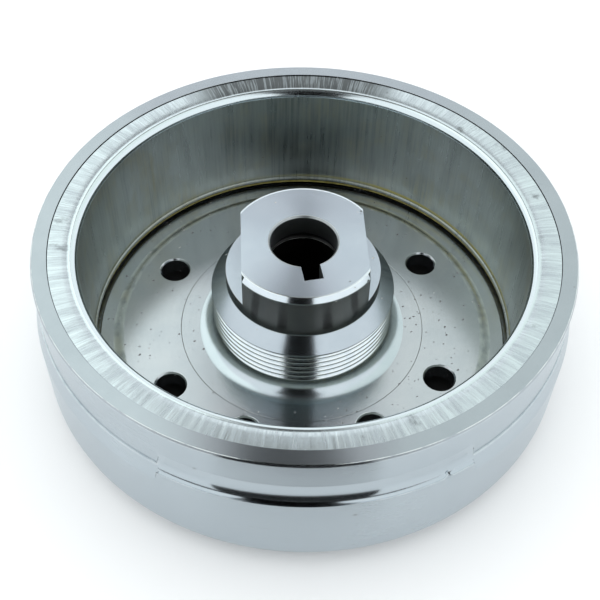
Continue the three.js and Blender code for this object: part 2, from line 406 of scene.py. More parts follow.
# %% Group: blotches, for stains, patina and uneven polish
def build_blotches():
    """Soft noise islands of one size. Cover sets how much of the surface they take."""
    tree, given, made = new_group("Blotches", {"Size": 8.0, "Cover": 0.5, "Softness": 0.15}, ["Mask"])
    value = noise(tree, millimetre_place(tree, given.outputs["Size"]), detail=4.0, roughness=0.6)
    middle = ramp(tree, given.outputs["Cover"], 0.0, 1.0, 0.75, 0.25)
    low = maths(tree, "SUBTRACT", middle, given.outputs["Softness"])
    high = maths(tree, "ADD", middle, given.outputs["Softness"])
    tree.links.new(ramp(tree, value, low, high), made.inputs["Mask"])
    return tree


blotches = build_blotches()
print("group", blotches.name)


# %% Group: specks of rust, chips and dried splashes
def build_specks():
    """Cells of one size. A few of them, chosen by the cell's random colour, hold a spot at their centre."""
    tree, given, made = new_group("Specks", {"Size": 1.0, "Amount": 0.05, "Spot": 0.25}, ["Mask"])
    bend = noise(tree, millimetre_place(tree, times(tree, given.outputs["Size"], 0.35)))
    place = add(tree, "ShaderNodeVectorMath", operation="ADD")
    tree.links.new(millimetre_place(tree, given.outputs["Size"]), place.inputs[0])
    tree.links.new(vector_of(tree, bend, bend, bend), place.inputs[1])
    cells = add(tree, "ShaderNodeTexVoronoi", feature="F1")
    cells.inputs["Scale"].default_value = 1.0
    tree.links.new(place.outputs[0], cells.inputs["Vector"])
    channels = add(tree, "ShaderNodeSeparateColor")
    tree.links.new(cells.outputs["Color"], channels.inputs[0])
    chosen = maths(tree, "LESS_THAN", channels.outputs[0], given.outputs["Amount"])
    reach = times(tree, given.outputs["Spot"], maths(tree, "ADD", channels.outputs[1], 0.3))
    inside = ramp(tree, cells.outputs["Distance"], times(tree, reach, 0.6), reach, 1.0, 0.0)
    tree.links.new(times(tree, chosen, inside), made.inputs["Mask"])
    return tree


specks = build_specks()
print("group", specks.name)


# %% Group: wear on the broken edges
def build_edge_wear():
    """The piece's own edge attribute, eaten away unevenly by noise."""
    tree, given, made = new_group("Edge wear", {"Amount": 0.7}, ["Mask"])
    edge = add(tree, "ShaderNodeAttribute", attribute_name="edge").outputs["Fac"]
    patches = noise(tree, millimetre_place(tree, 2.5), detail=5.0)
    strength = times(tree, edge, ramp(tree, patches, 0.3, 0.6))
    mask = times(tree, strength, given.outputs["Amount"], clamp=True)
    tree.links.new(mask, made.inputs["Mask"])
    return tree


edge_wear = build_edge_wear()
print("group", edge_wear.name)


# %% Group: fine even grain
def build_grain():
    """Very small noise, the same in every direction, as satin blasting or a casting leaves."""
    tree, given, made = new_group("Fine grain", {"Size": 0.12}, ["Height"])
    value = noise(tree, millimetre_place(tree, given.outputs["Size"]), detail=2.0)
    tree.links.new(value, made.inputs["Height"])
    return tree


fine_grain = build_grain()
print("group", fine_grain.name)


# %% Material helpers
def use(tree, group, **values):
    """Places a shared group with its own values and returns its output."""
    node = add(tree, "ShaderNodeGroup", node_tree=group)
    for label, value in values.items():
        node.inputs[label].default_value = value
    return node.outputs[0]


def new_finish(name, metallic, **constants):
    """A material with a Principled shader. Keyword sockets are set to constants."""
    material = bpy.data.materials.new(name)
    material.use_nodes = True
    tree = material.node_tree
    shader = tree.nodes["Principled BSDF"]
    shader.inputs["Metallic"].default_value = metallic
    for label, value in constants.items():
        shader.inputs[label.replace("_", " ")].default_value = value
    return material, tree, shader


def bump(tree, shader, layers):
    """Chains Bump nodes, one for each (height, depth in mm), into the shader's normal."""
    normal = None
    for height, depth in layers:
        node = add(tree, "ShaderNodeBump")
        node.inputs["Strength"].default_value = 1.0
        node.inputs["Distance"].default_value = depth * MM
        tree.links.new(height, node.inputs["Height"])
        if normal is not None:
            tree.links.new(normal, node.inputs["Normal"])
        normal = node.outputs[0]
    tree.links.new(normal, shader.inputs["Normal"])


def across_grooves(tree, shader, amount):
    """Spreads highlights across the lathe's grooves, which run round the axis."""
    tangent = add(tree, "ShaderNodeTangent", direction_type="RADIAL", axis="Z")
    tree.links.new(tangent.outputs[0], shader.inputs["Tangent"])
    shader.inputs["Anisotropic"].default_value = amount
    shader.inputs["Anisotropic Rotation"].default_value = 0.25


def complete(tree, shader, colour, roughness, layers, spread=None, metallic=None):
    """Links what was worked out to the shader, with its bumps and the spread of its highlights."""
    tree.links.new(colour, shader.inputs["Base Color"])
    tree.links.new(roughness, shader.inputs["Roughness"])
    if metallic is not None:
        tree.links.new(metallic, shader.inputs["Metallic"])
    bump(tree, shader, layers)
    if spread is not None:
        across_grooves(tree, shader, spread)


# %% [markdown]
# ## The cup's four finishes
#
# The outside of the cup is turned and then polished to a soft satin. The hollow above the lobe's ledge
# is the smoothest part of it. The rim's face is faced with a finer tool, so it mirrors more. The floor
# keeps a dull satin with scattered specks and dust. All share the same groups with different sizes.


# %% Steel of the outer bands
def band_finish(name, roughness):
    """Satin steel: faint rings, soft uneven polish, a few small scratches and bright worn edges."""
    material, tree, shader = new_finish(name, 1.0)
    rings = use(tree, turning_rings, Spacing=0.22, Wander=1.5)
    patches = use(tree, blotches, Size=22.0, Cover=0.5, Softness=0.25)
    marks = use(tree, specks, Size=4.0, Amount=0.06, Spot=0.12)
    worn = use(tree, edge_wear, Amount=0.6)
    colour = blend_colours(tree, patches, (0.44, 0.50, 0.54, 1), (0.48, 0.54, 0.58, 1))
    colour = layered(tree, colour, (marks, 0.5, (0.22, 0.22, 0.22, 1)), (worn, 1, (0.78, 0.82, 0.82, 1)))
    tone = scaled(tree, patches, 0.04, scaled(tree, rings, 0.05, roughness))
    complete(tree, shader, colour, tone, [(rings, 0.0002), (marks, -0.01)], spread=0.8)
    return material


band_steel = band_finish("band_steel", 0.21)
hollow_steel = band_finish("hollow_steel", 0.10)
print("finishes", band_steel.name, hollow_steel.name)


# %% Steel of the rim's face
def rim_finish():
    """Finely faced steel: close rings round the axis and a mirror softened across them."""
    material, tree, shader = new_finish("rim_steel", 1.0)
    rings = use(tree, turning_rings, Spacing=0.12, Wander=0.8)
    marks = use(tree, specks, Size=3.0, Amount=0.05, Spot=0.12)
    worn = use(tree, edge_wear, Amount=0.8)
    patches = use(tree, blotches, Size=14.0, Cover=0.5, Softness=0.25)
    colour = blend_colours(tree, patches, (0.375, 0.415, 0.45, 1), (0.415, 0.455, 0.49, 1))
    colour = layered(tree, colour, (marks, 0.5, (0.2, 0.19, 0.17, 1)), (worn, 1, (0.85, 0.90, 0.88, 1)))
    complete(tree, shader, colour, scaled(tree, rings, 0.06, 0.17), [(rings, 0.0003)], spread=0.8)
    return material


rim_steel = rim_finish()
print("finish", rim_steel.name)


# %% Steel of the floor
def floor_finish():
    """Dull satin steel: fine grain, faint rings, dark specks in loose groups, and pale dust.

    Specks and dust aren't metal, so they take the metal share down to 0.
    """
    material, tree, shader = new_finish("floor_steel", 1.0)
    rings = use(tree, turning_rings, Spacing=0.5, Wander=1.0)
    grain = use(tree, fine_grain, Size=0.15)
    patches = use(tree, blotches, Size=16.0, Cover=0.45, Softness=0.2)
    groups = use(tree, blotches, Size=11.0, Cover=0.50, Softness=0.06)
    dots = use(tree, specks, Size=1.1, Amount=0.30, Spot=0.24)
    spots = times(tree, dots, groups)
    dust = use(tree, specks, Size=1.4, Amount=0.12, Spot=0.13)
    worn = use(tree, edge_wear, Amount=0.8)
    colour = blend_colours(tree, patches, (0.465, 0.505, 0.54, 1), (0.525, 0.555, 0.585, 1))
    colour = layered(
        tree, colour,
        (spots, 0.9, (0.09, 0.085, 0.08, 1)),
        (dust, 1, (0.55, 0.55, 0.53, 1)),
        (worn, 1, (0.80, 0.83, 0.82, 1)),
    )
    metal = maths(tree, "SUBTRACT", 1.0, maths(tree, "MAXIMUM", spots, dust))
    tone = scaled(tree, rings, 0.04, scaled(tree, grain, 0.05, 0.13))
    layers = [(rings, 0.0003), (grain, 0.0002), (spots, -0.01)]
    complete(tree, shader, colour, tone, layers, spread=0.9, metallic=metal)
    return material


floor_steel = floor_finish()
print("finish", floor_steel.name)

# %% [markdown]
# ## The cup
#
# The cup is one turned shell, but its outside isn't the same all the way round. In front, a long lobe
# with a ledge triggers the ignition pickup; everywhere else the ledge is milled away to a slope. So
# the outside is two profiles with the same number of points, and each column mixes them by its angle.
# The floor has seven bolt holes. The ring of floor that holds them is left out of the shell and filled
# with small patches, because a round hole doesn't fit a grid that runs round the axis.

# %% Angles of the cup's columns
LOBE_CENTRE = -90.0
LOBE_HALF = 31.0
NICK_ANGLE = -65.0
NICK_WIDTH = 0.55
NICK_DEPTH = 0.45
STEP_ANGLE = 0.5
HOLE_SECTOR = 8.0
HOLES = [(flange_radius + 6.5, angle) for angle in (-150, -30, 30, 90, 150)]
HOLES += [(flange_radius + 4.7, angle) for angle in (-115, -65)]
HOLES.sort(key=lambda hole: hole[1] % 360)
HOLE_RADIUS = 3.3
HOLE_BREAK = 0.35
HOLES_FROM = 28.0
HOLES_TO = 38.5


def cup_angles():
    """An even half-degree step round the axis, with finer columns at the lobe's ends and the nick."""
    even = np.arange(0, 360, STEP_ANGLE)
    fine = np.linspace(-1.5, 1.5, 31)
    places = (LOBE_CENTRE - LOBE_HALF, LOBE_CENTRE + LOBE_HALF, NICK_ANGLE)
    close = [place + fine for place in places]
    return np.unique(np.round(np.concatenate([even, *close]) % 360, 3))


angles = cup_angles()
print("columns round the cup:", len(angles))


# %% The two outer profiles
PROFILE_LOW = ledge_top - 4.2
PROFILE_HIGH = ledge_top + 6.5


def ledge_profile():
    """Up the lobe, over its broken edge, along the ledge, and up a hollow that flares into the band.

    The hollow is a quarter ellipse. The flare adds a parabola that fades out further up.
    """
    ellipse_reach, ellipse_height = 1.0, 2.6
    flare_reach, flare_height = 0.15, 6.0
    flat_end = band_radius + ellipse_reach + flare_reach
    edge, wear = rounded([
        (body_radius, ledge_top - 0.6, 0), (body_radius, ledge_top, 0.1), (flat_end, ledge_top, 0),
    ])
    turn = np.radians(np.linspace(90, 0, 9))[1:]
    flare = np.linspace(ellipse_height, flare_height, 4)[1:]
    rise = np.sort(np.concatenate([(1 - np.sin(turn)) * ellipse_height, flare]))
    left = np.clip(1 - rise / ellipse_height, 0, 1)
    out = ellipse_reach * (1 - np.sqrt(1 - left**2)) + flare_reach * (1 - rise / flare_height) ** 2
    hollow = np.stack([band_radius + out, ledge_top + rise], axis=-1)
    points = np.concatenate([[[body_radius, PROFILE_LOW]], edge, hollow, [[band_radius, PROFILE_HIGH]]])
    wear = np.concatenate([[0], wear, np.zeros(len(hollow) + 1)])
    return points, wear


def slope_profile(count):
    """A long straight slope from the body up to a hairline step under the band.

    The radius falls as a ramp: the difference of two softened steps, one at each end of the slope.
    """
    top, foot, softness = ledge_top + 1.2, ledge_top - 3.0, 0.02
    step = 0.28
    height = np.concatenate([[PROFILE_LOW], np.linspace(foot - 0.5, top - 0.1, count - 6)])
    down = (top - height) / (top - foot)
    soft = softness * (np.logaddexp(0, down / softness) - np.logaddexp(0, (down - 1) / softness))
    radius = band_radius + step + (body_radius - band_radius - step) * np.clip(soft, 0, 1)
    radius = np.concatenate([radius, band_radius + step * np.array([0.95, 0.5, 0.05]), [band_radius] * 2])
    height = np.concatenate([height, [top, top, top, top + 0.3, PROFILE_HIGH]])
    return np.stack([radius, height], axis=-1)


def hairline_wear_and_highlight(count):
    """0.5 on the rows of the hairline step at the top of the slope, 0 on the others: worn-edge colour that
    also paints the step's thin bright line.
    """
    from_end = count - 1 - np.arange(count)
    return 0.5 * ((from_end >= 2) & (from_end <= 5))


def lobe_share(rows):
    """1 on the lobe and 0 off it, with an uneven milled end: each row ends at a slightly other angle."""
    turn = turn_from(angles, LOBE_CENTRE)[None, :]
    left = turn < 0
    ragged = 0.12 * np.sin(np.arange(rows) * 2.1)[:, None]
    reach = LOBE_HALF + np.where(left, 2.2 * ragged, ragged)
    width = np.where(left, 0.7, 0.3)
    return eased((reach - np.abs(turn)) / width + 0.5)


def cup_outside():
    """The band of rows that changes round the axis: radius and height mixed from both profiles."""
    ledge, wear = ledge_profile()
    slope = slope_profile(len(ledge))
    share = lobe_share(len(ledge))
    radius = share * ledge[:, :1] + (1 - share) * slope[:, :1]
    height = share * ledge[:, 1:] + (1 - share) * slope[:, 1:]
    dent = np.exp(-(turn_from(angles, NICK_ANGLE) / NICK_WIDTH) ** 2)[None, :]
    near_edge = np.exp(-(((ledge[:, 1:] - ledge_top) / 0.5) ** 2)) * (ledge[:, :1] > body_radius - 0.9)
    radius = radius - NICK_DEPTH * dent * near_edge
    return radius, height, share * wear[:, None] + (1 - share) * hairline_wear_and_highlight(len(ledge))[:, None]


outside_radius, outside_height, outside_wear = cup_outside()
print("rows of the changing band:", len(outside_radius))


# %% The shell's plain rows
# Finish numbers: the order in which the cup holds its materials.
ON_BAND, ON_RIM, ON_FLOOR, ON_HOLLOW = range(4)
CORNER = 5.0
STEP_OUT = 4.35
STEP_IN = 5.85


def cup_shell():
    """Grids of the turned shell: underside and wall, changing band, rim, inside, and the collar."""
    foot_arc = arc(body_radius - CORNER, cup_foot + CORNER, CORNER, -90, 0, 10)
    lower, lower_wear = rounded([(HOLES_TO, cup_foot, 0), *foot_arc, (body_radius, PROFILE_LOW, 0)])
    upper, upper_wear = rounded([
        (band_radius, PROFILE_HIGH, 0),
        (band_radius, rim_top - 0.5, 0.1),
        (band_radius - 0.25, rim_top, 0.12),
        (wall_inside + 0.03, rim_top, 0),
    ])
    inside, inside_wear_and_step_highlight = rounded([
        (wall_inside + 0.03, rim_top, 0),
        (wall_inside, rim_top - 0.05, 0.02),
        (wall_inside, channel_floor, 0.3),
        (sleeve_inner - 1.0, channel_floor, 0.3),
        (sleeve_inner - 1.0, outer_floor, 0.15),
        (sleeve_inner - STEP_OUT, outer_floor, 0.5),
        (sleeve_inner - STEP_IN, floor_top, 0.6),
        (HOLES_TO, floor_top, 0),
    ], steps=6)
    # Painted highlight: a ring of floor 2.2 mm wide at the step gets the bright worn-edge colour.
    from_step = (sleeve_inner - inside[:, 0] - 4.0) * (inside[:, 1] > outer_floor - 0.01)
    inside_wear_and_step_highlight = np.where((from_step > 0) & (from_step < 2.2), 0.8, inside_wear_and_step_highlight)
    collar, collar_wear = rounded([
        (HOLES_FROM, floor_top, 0),
        (flange_radius + 0.06, floor_top, 0.07),
        (flange_radius + 0.06, cup_foot, 0.2),
        (HOLES_FROM, cup_foot, 0),
    ])
    grids = []
    for outline, wear, finish in (
        (lower, lower_wear, ON_BAND), (upper, upper_wear, ON_BAND),
        (inside, inside_wear_and_step_highlight, ON_FLOOR), (collar, collar_wear, ON_FLOOR),
    ):
        points = revolve(outline[:, :1], outline[:, 1:], angles)
        faces = grid_faces(len(outline), len(angles))
        number = np.full(len(faces), finish)
        if outline is upper:
            face_row = np.arange(len(faces)) // len(angles)
            number[outline[face_row + 1, 1] > rim_top - 0.3] = ON_RIM
        grids.append((points, faces, wear[:, None], number))
    changing = revolve(outside_radius, outside_height, angles)
    faces = grid_faces(*outside_radius.shape)
    above_ledge = outside_height[:-1] > ledge_top - 0.2
    on_lobe = np.abs(turn_from(angles, LOBE_CENTRE)) < LOBE_HALF
    polished = above_ledge & on_lobe[None, :] & (outside_radius[:-1] > band_radius + 0.01)
    number = np.where(polished, ON_HOLLOW, ON_BAND).reshape(-1)
    grids.append((changing, faces, outside_wear, number))
    return grids


# %% Floor patches round the holes
def flat_sector(start, end, height):
    """Plain stretch of the ring of floor between two holes, at one height."""
    span = (end - start) % 360
    inside = ((angles - start) % 360) <= span + 1e-6
    columns = np.sort((angles[inside] - start) % 360) + start
    radius = np.linspace(HOLES_FROM, HOLES_TO, 8)[:, None]
    points = revolve(radius, np.full_like(radius, height), columns)
    return points, grid_faces(8, len(columns), round_columns=False), 0.0, ON_FLOOR


def hole_patch(distance, angle):
    """One hole and its stretch of floor, from the border above, through the hole, to the border below.

    Each border point has its own point on the hole's circle, in the same direction from its centre.
    """
    inside = ((angles - angle + HOLE_SECTOR) % 360) <= 2 * HOLE_SECTOR + 1e-6
    columns = np.sort(turn_from(angles[inside], angle)) + angle
    side = np.linspace(HOLES_TO, HOLES_FROM, 8)
    far, near = np.full(len(columns), HOLES_TO), np.full(len(columns) - 1, HOLES_FROM)
    radius = np.concatenate([far, side[1:], near, side[::-1][1:-1]])
    turn = np.concatenate([columns, np.full(7, columns[-1]), columns[::-1][1:], np.full(6, columns[0])])
    border = np.stack([radius * np.cos(np.radians(turn)), radius * np.sin(np.radians(turn))], axis=-1)
    centre = distance * np.array([math.cos(math.radians(angle)), math.sin(math.radians(angle))])
    outward = border - centre
    outward /= np.linalg.norm(outward, axis=1, keepdims=True)
    mouth = HOLE_RADIUS + HOLE_BREAK
    outline, wear = rounded([
        (mouth + 0.25, floor_top, 0),
        (mouth, floor_top, 0.08),
        (HOLE_RADIUS, floor_top - HOLE_BREAK, 0.1),
        (HOLE_RADIUS, cup_foot, 0.15),
        (HOLE_RADIUS + 0.4, cup_foot, 0),
    ])
    flat = centre + outline[:, None, :1] * outward[None, :, :]
    height = np.broadcast_to(outline[:, 1][:, None, None], flat[..., :1].shape)
    rings = np.concatenate([flat, height], axis=-1)
    above = np.concatenate([border, np.full((len(border), 1), floor_top)], axis=1)[None]
    below = np.concatenate([border, np.full((len(border), 1), cup_foot)], axis=1)[None]
    points = np.concatenate([above, (above + rings[:1]) / 2, rings, (below + rings[-1:]) / 2, below])
    wear = np.concatenate([[0, 0], wear, [0, 0]])[:, None]
    return points, grid_faces(*points.shape[:2]), wear, ON_FLOOR


# %% Build the cup
def build_cup():
    """Shell, plain floor stretches above and below, and the patches with holes, closed into one piece."""
    grids = cup_shell()
    for (distance, angle), following in zip(HOLES, HOLES[1:] + HOLES[:1]):
        grids.append(hole_patch(distance, angle))
        for height in (floor_top, cup_foot):
            grids.append(flat_sector(angle + HOLE_SECTOR, following[1] - HOLE_SECTOR, height))
    finishes = [band_steel, rim_steel, floor_steel, hollow_steel]
    return make_piece("turned_cup", grids, finishes, ["rotor_cup"])


build_cup()

# %% [markdown]
# ## The boss
#
# The boss is turned from bar: a flange that sits flush in the floor, a hollow foot, a fine outside
# thread for the puller, a cone, and a nose with two milled flats. It is faced and polished, so it
# mirrors more than the cup. The thread is a real helix here. On a grid the helix is only a wave whose
# start moves on with the angle, so the radius is a function of angle and height.


# %% The boss's finishes
def boss_finish(name, roughness, spread, colours):
    """Polished turned steel: fine rings, pale dust, worn edges, painted shade in the thread's roots, nose
    chips.

    The edge attribute is above 0 on worn edges and below 0 in the roots. The chips are kept to the
    right of the nose's top edge: far enough from the axis, far enough to the side, and high enough.
    """
    material, tree, shader = new_finish(name, 1.0)
    rings = use(tree, turning_rings, Spacing=0.14, Wander=0.6)
    patches = use(tree, blotches, Size=9.0, Cover=0.5, Softness=0.25)
    dust = use(tree, specks, Size=1.6, Amount=0.05, Spot=0.16)
    worn = use(tree, edge_wear, Amount=0.7)
    edge = add(tree, "ShaderNodeAttribute", attribute_name="edge").outputs["Fac"]
    # Painted shade: near-black in the thread's roots, where the edge attribute is below 0.
    painted_root_shade = times(tree, edge, -1.0, clamp=True)
    at = axis_coordinates(tree)
    near_rim = times(tree, ramp(tree, at.radius, 13.8, 15.2), ramp(tree, at.x, 0.35, 0.6))
    near_rim = times(tree, near_rim, ramp(tree, at.height, boss_top - 1.4, boss_top - 0.9))
    chips = times(tree, near_rim, use(tree, specks, Size=1.0, Amount=0.22, Spot=0.3))
    colour = layered(
        tree, blend_colours(tree, patches, *colours),
        (dust, 1, (0.55, 0.55, 0.52, 1)),
        (worn, 1, (0.88, 0.92, 0.90, 1)),
        (painted_root_shade, 1, (0.05, 0.055, 0.05, 1)),
        (chips, 1, (0.10, 0.10, 0.09, 1)),
    )
    metal = scaled(tree, dust, -0.9, 1.0)
    tone = scaled(tree, rings, 0.05, roughness)
    complete(tree, shader, colour, tone, [(rings, 0.0003), (chips, -0.03)], spread, metal)
    return material


# Finish numbers: the order in which the boss holds its materials.
ON_THREAD, ON_FACE, ON_FLANGE, ON_LAND, ON_FOOT, ON_NOSE, IN_BORE, ON_CONE = range(8)
BOSS_FINISHES = [
    boss_finish("bright_boss_steel", 0.14, 0.6, [(0.66, 0.73, 0.78, 1), (0.72, 0.79, 0.83, 1)]),
    boss_finish("boss_face_steel", 0.22, 0.92, [(0.46, 0.515, 0.58, 1), (0.50, 0.555, 0.62, 1)]),
    floor_steel,
    boss_finish("bore_steel", 0.34, 0.2, [(0.34, 0.37, 0.38, 1), (0.40, 0.43, 0.44, 1)]),
    boss_finish("boss_foot_steel", 0.15, 0.6, [(0.50, 0.57, 0.61, 1), (0.55, 0.61, 0.65, 1)]),
    boss_finish("nose_steel", 0.15, 0.9, [(0.32, 0.31, 0.315, 1), (0.38, 0.37, 0.375, 1)]),
    # Painted shade: near-black base colour deep in the bore, below the land.
    boss_finish("bore_shade_steel", 0.40, 0.2, [(0.03, 0.03, 0.03, 1), (0.06, 0.06, 0.06, 1)]),
    boss_finish("boss_cone_steel", 0.16, 0.7, [(0.46, 0.52, 0.57, 1), (0.50, 0.56, 0.61, 1)]),
]
print("finishes", [finish.name for finish in BOSS_FINISHES])

# %% Sizes of the boss
NECK_RADIUS = 18.6
FOOT_FILLET = 3.6
FOOT_SPREAD = 4.6
THREAD_RADIUS = 20.0
THREAD_PITCH = 1.5
THREAD_DEPTH = 0.75
THREAD_TURNS = 6
ROWS_PER_PITCH = 16
NOSE_RADIUS = 16.7
HALF_FLATS = 13.15
FLATS_LENGTH = 8.0
FLATS_BREAK = 0.06
BEVEL_WIDTH = 0.8
BEVEL_HEIGHT = 1.1
BORE_RADIUS = 7.1
BORE_CHAMFER = 0.35
LAND_LENGTH = 5.0
RELIEF_RADIUS = 8.3
RELIEF_LENGTH = 2.0
TAPER_TOP = 7.6
TAPER_FOOT = 9.8
SEAT_MOUTH = 12.5
KEY_ANGLE = -82.0
KEY_HALF = 2.0
KEY_REACH = 11.1
thread_foot = floor_top + FOOT_FILLET + 0.3
thread_top = thread_foot + THREAD_PITCH * THREAD_TURNS
flats_foot = boss_top - FLATS_LENGTH


def boss_angles():
    """One column a degree, finer at the keyway, with exact columns where flats and keyway have corners."""
    even = np.arange(0, 360, 1.0)
    near_key = KEY_ANGLE + np.arange(-20, 20, 0.5)
    corner = math.degrees(math.acos(HALF_FLATS / NOSE_RADIUS))
    flats = np.array([corner, -corner, 180 - corner, 180 + corner])
    reach = math.degrees(math.atan2(KEY_HALF, KEY_REACH))
    mouth = math.degrees(math.asin(KEY_HALF / BORE_RADIUS))
    keyway = KEY_ANGLE + np.array([-mouth, -reach, reach, mouth])
    return np.unique(np.round(np.concatenate([even, near_key, flats, keyway]) % 360, 3))


boss_columns = boss_angles()
print("columns round the boss:", len(boss_columns))


# %% Outlines that aren't round
def flats_limit():
    """Distance from the axis to the two flats, x = +-half, at each angle: half / |cos angle|."""
    across = np.abs(np.cos(np.radians(boss_columns)))
    return HALF_FLATS / np.maximum(across, 1e-6)


def keyway_reach():
    """Distance from the axis to the keyway's walls at each angle, and 0 outside it."""
    turn = np.radians(turn_from(boss_columns, KEY_ANGLE))
    far_wall = KEY_REACH / np.maximum(np.cos(turn), 1e-6)
    side_wall = KEY_HALF / np.maximum(np.abs(np.sin(turn)), 1e-6)
    return np.where(np.abs(turn) < math.pi / 3, np.minimum(far_wall, side_wall), 0)


def thread_rows():
    """Radius of the helical thread over angle and height.

    The phase is height / pitch less the share of the turn. Half a pitch from a root lies a crest, and
    an eased step joins them. Both ends run out: the foot into the root, the top into the crest.
    """
    height = np.linspace(thread_foot, thread_top, THREAD_TURNS * ROWS_PER_PITCH + 1)[:, None]
    phase = ((height - thread_foot) / THREAD_PITCH - boss_columns[None, :] / 360) % 1
    from_crest = np.abs(phase - 0.5) * 2
    radius = THREAD_RADIUS - THREAD_DEPTH * eased((from_crest - 0.08) / 0.86)
    start = np.clip((height - thread_foot) / 0.4, 0, 1)
    end = np.clip((thread_top - height) / 0.35, 0, 1)
    radius = THREAD_RADIUS - THREAD_DEPTH + (radius - THREAD_RADIUS + THREAD_DEPTH) * start
    radius = THREAD_RADIUS + (radius - THREAD_RADIUS) * end
    crest = np.clip(1.6 - from_crest * 2.6, 0, 1) * start
    # Below 0 in the roots: there the boss's finish paints shade.
    root = np.clip((from_crest - 0.78) / 0.18, 0, 1) * end
    return radius, np.broadcast_to(height, radius.shape), crest - root


# %% Build the boss
def boss_stack():
    """Rows of the whole boss in order, as (radius, height, wear, finish) blocks over the columns."""
    blocks = []

    def plain(points, finish, limit=None, hollow=None, steps=4):
        outline, wear = rounded(points, steps)
        radius = np.repeat(outline[:, :1], len(boss_columns), axis=1)
        if limit is not None:
            radius = np.minimum(radius, limit[None, :])
        if hollow is not None:
            radius = np.maximum(radius, hollow[None, :])
        blocks.append((radius, np.broadcast_to(outline[:, 1:], radius.shape), wear[:, None], finish))

    key = keyway_reach()
    limit = flats_limit()
    nose_foot = thread_top + 2.7
    bevel_foot = boss_top - BEVEL_HEIGHT
    top_edge = NOSE_RADIUS - BEVEL_WIDTH
    mouth = BORE_RADIUS + BORE_CHAMFER
    foot_end = NECK_RADIUS + FOOT_SPREAD
    foot_curve = [
        (foot_end + FOOT_SPREAD * across, floor_top + FOOT_FILLET * (1 + up), 0)
        for across, up, _ in arc(0, 0, 1, -90, -180, 14)
    ]
    plain([
        (SEAT_MOUTH, 0, 0), (flange_radius, 0, 0.3), (flange_radius, floor_top, 0.07),
        (foot_end, floor_top, 0),
    ], ON_FLANGE)
    plain([
        *foot_curve,
        (NECK_RADIUS, thread_foot, 0.08), (THREAD_RADIUS - THREAD_DEPTH, thread_foot, 0),
    ], ON_FOOT)
    radius, height, wear = thread_rows()
    blocks.append((radius, height, wear, ON_THREAD))
    plain([
        (THREAD_RADIUS, thread_top, 0), (THREAD_RADIUS, thread_top + 0.12, 0.06),
        (NOSE_RADIUS, nose_foot, 0.1), (NOSE_RADIUS, nose_foot + 0.3, 0),
    ], ON_CONE)
    plain([(NOSE_RADIUS, nose_foot + 0.3, 0), (NOSE_RADIUS, flats_foot - 0.3, 0)], ON_NOSE)
    on_flat = np.clip((NOSE_RADIUS - limit) / 0.4, 0, 1)[None, :]
    in_flat = np.minimum(NOSE_RADIUS, limit)[None, :]
    lip = FLATS_BREAK * np.array([[0, -1], [-0.3, -0.3], [-1, 0]])
    root = FLATS_BREAK * np.array([[1, 0], [0.3, 0.3], [0, 1]])
    ledge_radius = np.concatenate([NOSE_RADIUS + lip[:, :1] * on_flat, in_flat + root[:, :1] * on_flat])
    ledge_height = flats_foot + np.concatenate([lip[:, 1:], root[:, 1:]]) * on_flat
    ledge_finish = np.where(np.arange(6) == 2, ON_FACE, ON_NOSE)
    blocks.append((ledge_radius, ledge_height, np.zeros((6, 1)), ledge_finish))
    plain([(NOSE_RADIUS, flats_foot + 0.3, 0), (NOSE_RADIUS, bevel_foot - 0.2, 0)], ON_NOSE, limit=limit)
    plain([
        (NOSE_RADIUS, bevel_foot - 0.2, 0), (NOSE_RADIUS, bevel_foot, 0.1), (top_edge, boss_top, 0.1),
        (top_edge - 0.4, boss_top, 0),
    ], ON_THREAD, limit=limit)
    outer = np.minimum(top_edge - 0.4, limit)
    inner = np.maximum(mouth + 0.1, key)
    share = np.linspace(0, 1, 5)[:, None]
    face = outer + (inner - outer) * share
    blocks.append((face, np.full_like(face, boss_top), np.zeros((5, 1)), ON_FACE))
    land_foot = boss_top - LAND_LENGTH
    plain([
        (mouth + 0.1, boss_top, 0), (mouth, boss_top, 0.05),
        (BORE_RADIUS, boss_top - BORE_CHAMFER, 0.08), (BORE_RADIUS, land_foot, 0),
    ], ON_LAND, hollow=key)
    relief_foot = land_foot - RELIEF_LENGTH
    plain([
        (BORE_RADIUS, land_foot, 0), (RELIEF_RADIUS, land_foot, 0), (RELIEF_RADIUS, relief_foot, 0),
        (TAPER_TOP, relief_foot, 0.05), (TAPER_FOOT, 0, 0.2), (SEAT_MOUTH, 0, 0),
    ], IN_BORE, hollow=key)
    return blocks


def build_boss():
    """Stacks the blocks into one grid that closes on itself both ways."""
    blocks = boss_stack()
    radius = np.concatenate([block[0] for block in blocks])
    height = np.concatenate([block[1] for block in blocks])
    shape = (len(radius), len(boss_columns))
    wear = np.concatenate([np.broadcast_to(b[2], b[0].shape) for b in blocks])
    row_finish = np.concatenate([np.full(len(block[0]), block[3]) for block in blocks])
    faces = grid_faces(*shape, round_rows=True)
    finish = np.repeat(row_finish, len(boss_columns))
    points = revolve(radius, height, boss_columns)
    grid = (points, faces, wear, finish)
    return make_piece("threaded_boss", [grid], BOSS_FINISHES, ["boss"])


build_boss()

# %% [markdown]
# ## The sleeve
#
# The sleeve is drawn from thin stainless sheet and pressed over the magnets. Its mouth is rolled to a
# smooth bright lip, and the crimping tool leaves the flange outside the lip faintly rippled. Drawing
# leaves streaks up the wall, and resin and grease have stained it. Ripples this size shift the light
# on the flange, so they are in the mesh; streaks are finer, so they are in the material.


# %% Ripples of the crimped flange
def flange_ripple(columns, seed=11):
    """Uneven ripple round the flange: a sum of waves, a whole number of each round the axis."""
    draw = np.random.default_rng(seed)
    waves = draw.integers(40, 260, 28)
    starts = draw.uniform(0, 2 * np.pi, 28)
    heights = draw.uniform(0.3, 1.0, 28)
    turn = np.radians(columns)
    total = (heights[:, None] * np.sin(waves[:, None] * turn[None, :] + starts[:, None])).sum(axis=0)
    return total / np.abs(total).max()


